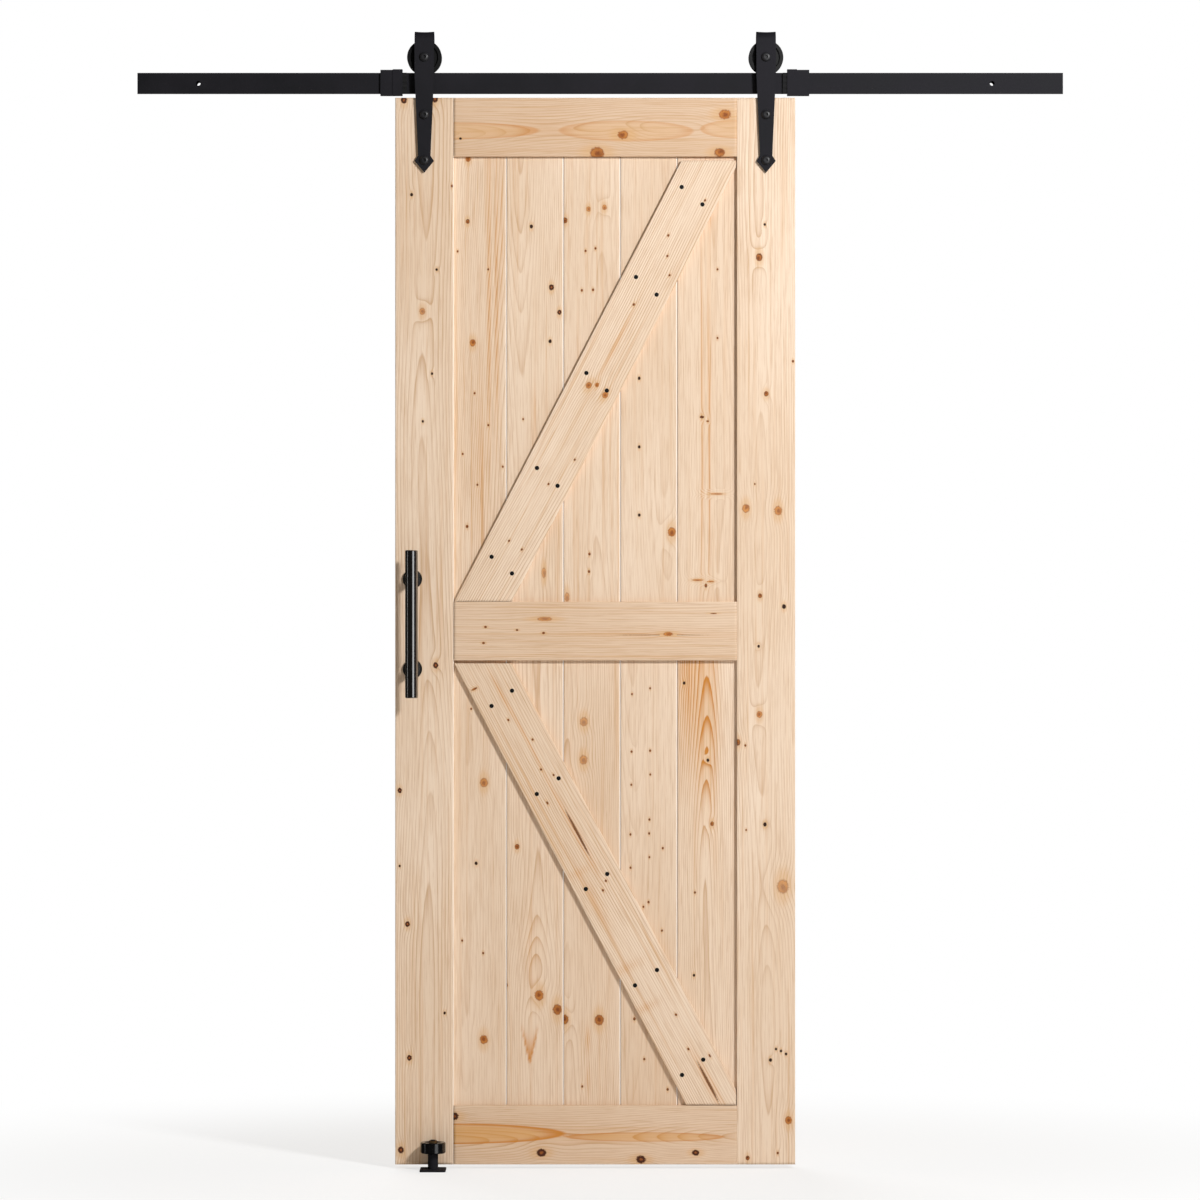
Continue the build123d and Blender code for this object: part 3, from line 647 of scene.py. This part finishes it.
# tongued boards of the two panels, with the V at each seam, from left to right
panel = {"ease": 0.0021, "seamGap": 0.0005, "ringStep": 0.0034}
panelBoards = {
    "upper_board_1": {
        "seed": 21, "pith": (0.07, 0.045), "rise": 0.020, "lean": 0.006, "tone": 0.05, "rings": 0.8,
        "streaks": 1.6,
        "marks": [(468, 158.5, 2.6, 0.6), (467.6, 221, 2, 0.7), (457.5, 251, 1.3, 0.7),
                  (488, 269, 1.3, 0.7), (472.7, 342.5, 3, 0.6), (474.4, 393, 1.3, 0.7),
                  (488.2, 425, 1.3, 0.7), (462.5, 453.7, 1.3, 0.7), (502.7, 466.5, 1.3, 0.7),
                  (477.2, 484.6, 1.3, 0.7), (467, 526.4, 1.8, 0.7)],
        "heart": [(489, 300, 1.8, 150, 1.0), (496.5, 290, 1.8, 140, 0.9), (501.5, 230, 1.6, 90, 0.7),
                  (479, 470, 8, 110, 0.35)],
    },
    "upper_board_2": {
        "seed": 22, "pith": (-0.02, 0.044), "rise": -0.016, "lean": 0.0, "tone": 0.0, "rings": 0.75,
        "marks": [(531.3, 226, 1.7, 0.8), (551.4, 287, 2.5, 0.75), (559.4, 312, 2.1, 0.75),
                  (550, 341, 1.6, 0.85), (523, 419, 1.2, 0.7), (543.8, 572.7, 2.2, 0.4, 2.5)],
        "heart": [(534, 418, 1.6, 32, 0.6)],
    },
    "upper_board_3": {
        "seed": 23, "pith": (0.022, 0.046), "rise": 0.014, "lean": -0.004, "tone": 0.05, "rings": 0.45,
        "marks": [(588.5, 208.8, 2.3, 0.5), (604.5, 207, 2.3, 0.5), (565, 220, 2.5, 0.7),
                  (585.5, 250.5, 1.4, 0.7), (595.5, 248, 1.4, 0.7), (581.8, 290, 1.5, 0.7),
                  (593, 289.5, 1.5, 0.7), (589.4, 554, 1.6, 0.7), (589, 571.5, 1.6, 0.7),
                  (567, 597, 2.4, 0.4, 2.0)],
    },
    "upper_board_4": {
        "seed": 24, "pith": (0.03, 0.060), "rise": -0.012, "lean": 0.002, "tone": 0.05, "rings": 0.35,
        "streaks": 0.6,
        "marks": [(639.2, 378, 1.4, 0.85), (639.3, 446.7, 1.4, 0.85), (639.3, 515, 1.4, 0.85),
                  (671.8, 532, 4, 0.58)],
    },
    "upper_board_5": {
        "seed": 25, "pith": (0.008, 0.044), "rise": 0.012, "lean": 0.0, "tone": 0.0, "rings": 0.45,
        "streaks": 0.7,
        "marks": [(717.6, 269, 1.3, 0.7), (717.6, 337.7, 1.3, 0.7), (702, 416.8, 2.2, 0.75, 0.6),
                  (707.8, 421, 1.8, 0.75, 0.6), (716.5, 493.8, 7, 0.5, 0.11), (697.5, 580, 5.5, 0.5, 0.18),
                  (710.5, 581.5, 4, 0.5, 0.22), (706, 585.5, 1.7, 0.6, 1.6)],
        "heart": [(702.4, 400, 1.3, 190, 0.95), (709, 400, 1.7, 190, 0.8)],
    },
    "lower_board_1": {
        "seed": 31, "pith": (-0.022, 0.044), "rise": -0.014, "lean": 0.004, "tone": 0.10, "rings": 0.45,
        "streaks": 0.8,
        "marks": [(483.8, 782.8, 4, 0.5), (476, 863.6, 1.5, 0.8), (462, 941, 1.3, 0.7),
                  (483, 953.5, 1.4, 0.7), (483.6, 1040, 4, 0.6), (471, 709, 1.3, 0.7)],
    },
    "lower_board_2": {
        "seed": 32, "pith": (0.0, 0.040), "rise": 0.006, "lean": 0.0, "tone": 0.09, "rings": 0.9,
        "marks": [(517, 847, 2.4, 0.68), (539, 995.8, 4.5, 0.6), (557.3, 1010, 4.5, 0.65),
                  (505.7, 985.6, 2, 0.7)],
        "heart": [(533, 950, 9, 45, 0.3)],
        "flames": [(529.8, 1066, 8.5, 37, 1.0)],
        "ramps": [(532, 950, 0.010, 45)],
    },
    "lower_board_3": {
        "seed": 33, "pith": (-0.040, 0.030), "rise": 0.006, "lean": -0.003, "tone": 0.12, "rings": 0.8,
        "ramps": [(583, 740, 0.003, 60)],
        "marks": [(583.8, 721.8, 4, 0.40), (583.4, 760, 4, 0.42), (564.7, 1020, 4, 0.65),
                  (599.2, 1020.4, 4.5, 0.65), (582.2, 1087, 1.4, 0.7)],
        "heart": [(587.8, 1040, 2.2, 13, 0.8), (588, 1081, 2.4, 16, 0.6)],
    },
    "lower_board_4": {
        "seed": 34, "pith": (-0.034, 0.056), "rise": -0.010, "lean": 0.0, "tone": 0.12, "rings": 0.4,
        "streaks": 0.7,
        "marks": [(632, 694.3, 1.3, 0.75), (650.2, 688.4, 1.3, 0.75), (631.6, 751.8, 1.4, 0.75),
                  (650.2, 750.8, 1.4, 0.75), (650.3, 774.7, 1.3, 0.75), (631.3, 785, 1.3, 0.75),
                  (649.5, 819.8, 1.4, 0.75), (630.5, 834.7, 1.4, 0.75), (649.2, 833.7, 1.4, 0.75),
                  (662.8, 848.5, 1.4, 0.75), (649.4, 857.5, 1.3, 0.75), (630.6, 868, 1.4, 0.75),
                  (648.6, 902.5, 1.5, 0.75), (643.4, 907.2, 1.3, 0.75), (662, 931, 1.4, 0.75),
                  (634.4, 1019.4, 1.8, 0.75), (644.3, 1059.6, 1.5, 0.75), (667.7, 1090, 1.6, 0.75)],
    },
    "lower_board_5": {
        "seed": 35, "pith": (-0.005, 0.026), "rise": 0.0, "lean": 0.0, "tone": 0.0,
        "marks": [(684.2, 683.2, 1.4, 0.8), (708, 760.4, 1.5, 0.8), (712.2, 824, 2.0, 0.66),
                  (695, 892.8, 1.4, 0.75), (694.1, 975.7, 1.3, 0.8)],
        "heart": [(688, 668, 12, 85, 1.1), (707, 715, 10, 90, 1.3)],
        "ramps": [(704, 745, 0.011, 105)],
    },
}

for node, look in panelBoards.items():
    sideA, sideB, front, back = uprightSides(node)
    following = node[:-1] + str(int(node[-1]) + 1)
    if following in panelBoards:                            # the tongue is hidden inside the next board
        sideB = [(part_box(following)[0].x - panel["seamGap"], z) for _, z in sideB]
    # pale and shaded paint a highlight and a shade on each board's rounded front edges
    pineBoard({"name": "pine_" + node, "sideA": sideA, "sideB": sideB, "front": front, "back": back,
               "ringStep": panel["ringStep"], "ease": panel["ease"], "pale": True,
               "shaded": node[-1] != "1", **look})
print("panel boards made")


# diagonal braces: five-sided boards whose foot and head are cut level
brace = {"footWidth": 0.110, "ringStep": 0.0038}
braceBoards = {
    "upper_brace": {
        "foot": "low", "headEnd": 0.012, "seed": 41, "pith": (0.085, 0.050), "rise": 0.006, "lean": 0.0,
        "tone": 0.02, "rings": 1.5, "streaks": 1.6,
        "marks": [(668.3, 235.4, 1.5, 0.75), (667.4, 256, 1.4, 0.75), (705, 200.4, 1.4, 0.75),
                  (669.5, 275.2, 1.4, 0.75), (633.8, 304.5, 1.6, 0.75), (588.7, 385.3, 3, 0.55),
                  (597, 385, 2, 0.6), (605.2, 395, 3, 0.55), (574.7, 459.7, 1.4, 0.75),
                  (548.5, 484, 1.4, 0.75), (509, 540.8, 1.4, 0.75), (521.8, 549.5, 1.4, 0.75)],
        "heart": [(617, 343, 2.0, 38, 0.7)],
    },
    "lower_brace": {
        "foot": "high", "headEnd": 0.028, "seed": 42, "pith": (0.090, 0.056), "rise": 0.006, "lean": 0.0,
        "tone": 0.03, "rings": 1.4, "streaks": 1.5,
        "marks": [(474.4, 689, 3.2, 0.7, 0.32), (547.3, 803, 1.2, 0.7, 2.0), (709.7, 1055.7, 1.2, 0.7, 2.0),
                  (508.3, 720, 1.4, 0.75), (532.6, 739.5, 1.4, 0.75), (541, 769.5, 1.4, 0.75),
                  (553.6, 775, 1.4, 0.75), (605.8, 880.8, 1.5, 0.75), (602.9, 890.4, 1.5, 0.75),
                  (676, 1014.7, 1.5, 0.75), (688.4, 1049, 1.5, 0.75), (577.7, 833.5, 1.5, 1.5, 20.0),
                  (708, 1082, 1.5, 1.5, 17.0)],
        "heart": [(580, 840, 3.5, 42, 0.8), (707, 1080, 4, 34, 0.8), (580, 872, 14, 4, 0.35),
                  (627, 968, 16, 5, 0.4), (645, 1008, 14, 4, 0.5), (500, 692, 1.8, 22, 0.9),
                  (518, 723.5, 1.5, 26, 0.8), (536, 757, 1.4, 26, 0.7), (556, 797, 1.3, 30, 0.6),
                  (596, 900, 6, 30, 0.35)],
    },
}


def braceSides(node, look):
    # one long edge from the foot's corner, the other bent where it meets the stile
    low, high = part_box(node)
    foot, head = (low.z, high.z) if look["foot"] == "low" else (high.z, low.z)
    shoulder = head - np.sign(head - foot) * look["headEnd"]
    lean = (high.x - low.x - brace["footWidth"]) / (shoulder - foot)
    sideA = [(low.x, foot), (low.x + lean * (head - foot), head)]
    sideB = [(low.x + brace["footWidth"], foot), (high.x, shoulder), (high.x, head)]
    knees = [0.0, (shoulder - foot) / (head - foot), 1.0]
    return sideA, sideB, knees, low.y, high.y


for node, look in braceBoards.items():
    sideA, sideB, knees, front, back = braceSides(node, look)
    pineBoard({"name": "pine_" + node, "sideA": sideA, "sideB": sideB, "knees": knees, "front": front,
               "back": back, "ringStep": brace["ringStep"], **look})
print("braces made")


# black countersunk screws in pairs along each brace, placed in picture pixels
screw = {"radius": 0.0043, "proud": 0.0007, "rimUnder": 0.0002, "crown": 0.6, "recess": 0.0005,
         "crossReach": 0.55, "crossWidth": 0.55, "turns": 32, "stations": 11, "firstStation": 0.12}
screwPairs = {
    "upper_brace": [(681.7, 187), (702.4, 204.4), (636, 277), (656.6, 294.6), (586.4, 373), (606.8, 390.5),
                    (537, 468), (557.6, 485.8), (491.6, 556.8), (512, 573.4)],
    "lower_brace": [(512, 690.7), (491.5, 706), (558.6, 778.3), (536.8, 794), (607.2, 874), (585.8, 889),
                    (657, 970), (635, 985.4), (703.2, 1059.7), (682, 1075)],
}


def screwHeads(node, pixels):
    # height over the wood = a low crown less a cross-shaped recess: a function of radius and turn
    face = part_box(node)[0].y
    turns, stations = screw["turns"], screw["stations"]
    turn = np.linspace(0.0, 2 * np.pi, turns, endpoint=False)
    radius = np.concatenate([[0.0], np.linspace(screw["firstStation"], 1.0, stations - 1)])[:, None]
    cross = (radius < screw["crossReach"]) & (np.abs(np.sin(2 * turn)) < screw["crossWidth"])
    height = screw["proud"] * (1.0 - screw["crown"] * radius ** 4) - screw["recess"] * cross
    height[-1] = -screw["rimUnder"]                         # the rim goes just under the wood
    x = radius * np.cos(turn) * screw["radius"]
    z = radius * np.sin(turn) * screw["radius"]
    one = np.stack([x, face - height, z], 2).reshape(-1, 3)
    spots = np.array([atPixel(*p) for p in pixels])
    many = np.repeat(one[None], len(spots), 0)
    many[:, :, 0] += spots[:, :1]
    many[:, :, 2] += spots[:, 1:]
    ring = np.arange(stations - 1)[:, None] * turns
    step = np.arange(turns)[None, :]
    after = (step + 1) % turns
    faces = np.stack([ring + step, ring + after, ring + turns + after, ring + turns + step], 2).reshape(-1, 4)
    allFaces = (faces[None] + (np.arange(len(spots)) * len(one))[:, None, None]).reshape(-1, 4)
    meshPiece(node + "_screws", many.reshape(-1, 3), allFaces, coatMats["screwBlack"], "door",
              smooth=False)


for node, pixels in screwPairs.items():
    screwHeads(node, pixels)
print("brace screws made")


# coats on the metal, nylon and rubber pieces
coated = {
    "blackSteel": ["track_rail", "left_standoff", "right_standoff", "left_stop", "right_stop", "left_hanger",
                   "right_hanger", "guide_plate", "guide_post"],
    "boltBlack": ["left_axle_bolt", "right_axle_bolt", "axle_nuts", "hanger_sleeves", "handle_screws",
                  "left_hanger_upper_bolt", "left_hanger_lower_bolt", "right_hanger_upper_bolt",
                  "right_hanger_lower_bolt"],
    "satinBlack": ["handle_bar", "handle_caps", "handle_upper_post", "handle_lower_post"],
    "wheelNylon": ["left_wheel", "right_wheel"],
    "rollerGloss": ["guide_roller"],
    "bumperRubber": ["left_stop_bumper", "right_stop_bumper"],
    "yellowZinc": ["guide_nut"],
}
for coatName, names in coated.items():
    for name in names:
        slots = nodes[name].data.materials
        slots.clear()
        slots.append(coatMats[coatName])
print("hardware finished")


# pale floor, soft light and the camera
studio = {
    "floorHalf": (3.2, 2.4), "floorColour": (248, 248, 248), "floorRoughness": 0.9, "floorShine": 0.1,
    "floorGlow": (0.66, 1.0), "glowReach": (0.5, 1.5), "glowStretch": (0.8, 1.0, 0.0),
    "skyFill": 0.24, "skyColour": (1.0, 0.91, 0.78, 1.0), "skyGloss": 0.025, "skySeen": (1.0, 1.0, 1.0, 1.0),
    "distance": 9.0, "sensor": 36.0, "clipEnd": 60.0,
}


def makeFloor():
    # a level rectangle at the foot of the floor guide
    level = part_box("guide_plate")[0].z
    halfX, halfY = studio["floorHalf"]
    corners = [(-halfX, -halfY, level), (halfX, -halfY, level), (halfX, halfY, level), (-halfX, halfY, level)]
    mesh = bpy.data.meshes.new("studio_floor")
    mesh.from_pydata(corners, [], [(0, 1, 2, 3)])
    mat, tree, surface = newMaterial("studio_floor")
    surface.inputs["Base Color"].default_value = linear(*studio["floorColour"])
    surface.inputs["Roughness"].default_value = studio["floorRoughness"]
    surface.inputs["Specular IOR Level"].default_value = studio["floorShine"]
    # the camera sees the floor lifted towards white, with the shadow kept
    glow = tree.nodes.new("ShaderNodeEmission")
    seen = tree.nodes.new("ShaderNodeLightPath").outputs["Is Camera Ray"]
    both = tree.nodes.new("ShaderNodeMixShader")
    where = tree.nodes.new("ShaderNodeVectorMath")
    where.operation = "LENGTH"
    flat = tree.nodes.new("ShaderNodeMapping")
    flat.inputs["Scale"].default_value = studio["glowStretch"]
    tree.links.new(tree.nodes.new("ShaderNodeTexCoord").outputs["Object"], flat.inputs["Vector"])
    tree.links.new(flat.outputs[0], where.inputs[0])
    lift = span(tree, where.outputs["Value"], *studio["glowReach"], *studio["floorGlow"])
    tree.links.new(times(tree, seen, lift), both.inputs[0])
    tree.links.new(surface.outputs[0], both.inputs[1])
    tree.links.new(glow.outputs[0], both.inputs[2])
    tree.links.new(both.outputs[0], tree.nodes["Material Output"].inputs["Surface"])
    mesh.materials.append(mat)
    floor = addObject("studio_floor", mesh)
    floor.visible_glossy = False                            # polished pieces mirror the dark room


# area lamps: glossOnly ones show only as highlights, plainOnly ones never do
lamps = {
    "key": {"place": (2.0, -3.05, 0.8), "aim": (0.0, 0.0, -0.9), "size": (0.45, 0.45), "power": 134.0},
    "rightBox": {"place": (1.85, -3.2, -1.4), "aim": (-0.3, -0.05, -1.5), "size": (1.9, 4.0), "power": 46.0,
                 "glossOnly": True},
    "leftBox": {"place": (-3.3, -0.8, -1.4), "aim": (-0.3, -0.05, -1.5), "size": (0.22, 3.8), "power": 5.2,
                "glossOnly": True},
    "back": {"place": (-1.2, 3.4, 0.6), "aim": (0.0, 0.0, -0.9), "size": (2.5, 2.5), "power": 95.0,
             "plainOnly": True},
}


def makeLamp(name, look):
    lamp = bpy.data.lights.new(name, "AREA")
    lamp.energy = look["power"]
    lamp.shape = "RECTANGLE"
    lamp.size, lamp.size_y = look["size"]
    holder = addObject(name, lamp)
    holder.visible_diffuse = not look.get("glossOnly", False)
    holder.visible_glossy = not look.get("plainOnly", False)
    place = np.array(look["place"])
    way = np.array(look["aim"]) - place
    holder.location = place
    flat = np.hypot(way[0], way[1])
    holder.rotation_euler = (np.pi / 2 + np.arctan2(way[2], flat), 0.0, np.arctan2(-way[0], way[1]))


def makeWorld():
    # the camera sees plain white, gloss a dim room, and everything else a warm fill
    world = bpy.data.worlds.new("studio")
    bpy.context.scene.world = world
    world.use_nodes = True
    tree = world.node_tree
    tree.nodes.clear()
    path = tree.nodes.new("ShaderNodeLightPath")
    gloss, seen = path.outputs["Is Glossy Ray"], path.outputs["Is Camera Ray"]
    light = tree.nodes.new("ShaderNodeBackground")
    unseen = span(tree, gloss, 0.0, 1.0, studio["skyFill"], studio["skyGloss"], False)
    tree.links.new(span(tree, seen, 0.0, 1.0, unseen, 1.0, False), light.inputs["Strength"])
    tree.links.new(blendColour(tree, seen, studio["skyColour"], studio["skySeen"]), light.inputs["Color"])
    out = tree.nodes.new("ShaderNodeOutputWorld")
    tree.links.new(light.outputs[0], out.inputs["Surface"])


def makeCamera():
    # straight on, and far enough off to see through the track's holes
    x, z = atPixel(*photo["frameMiddle"])
    lens = bpy.data.cameras.new("photo_camera")
    lens.sensor_width = studio["sensor"]
    lens.sensor_height = studio["sensor"]
    lens.lens = studio["sensor"] * studio["distance"] / (photo["frameSize"] * pixel)
    lens.clip_end = studio["clipEnd"]
    holder = addObject("photo_camera", lens)
    holder.location = (x, doorFront - studio["distance"], z)
    holder.rotation_euler = (np.pi / 2, 0.0, 0.0)
    bpy.context.scene.camera = holder


makeFloor()
for name, look in lamps.items():
    makeLamp(name, look)
makeWorld()
makeCamera()
bpy.context.scene.view_settings.view_transform = "Standard"
print("studio made")
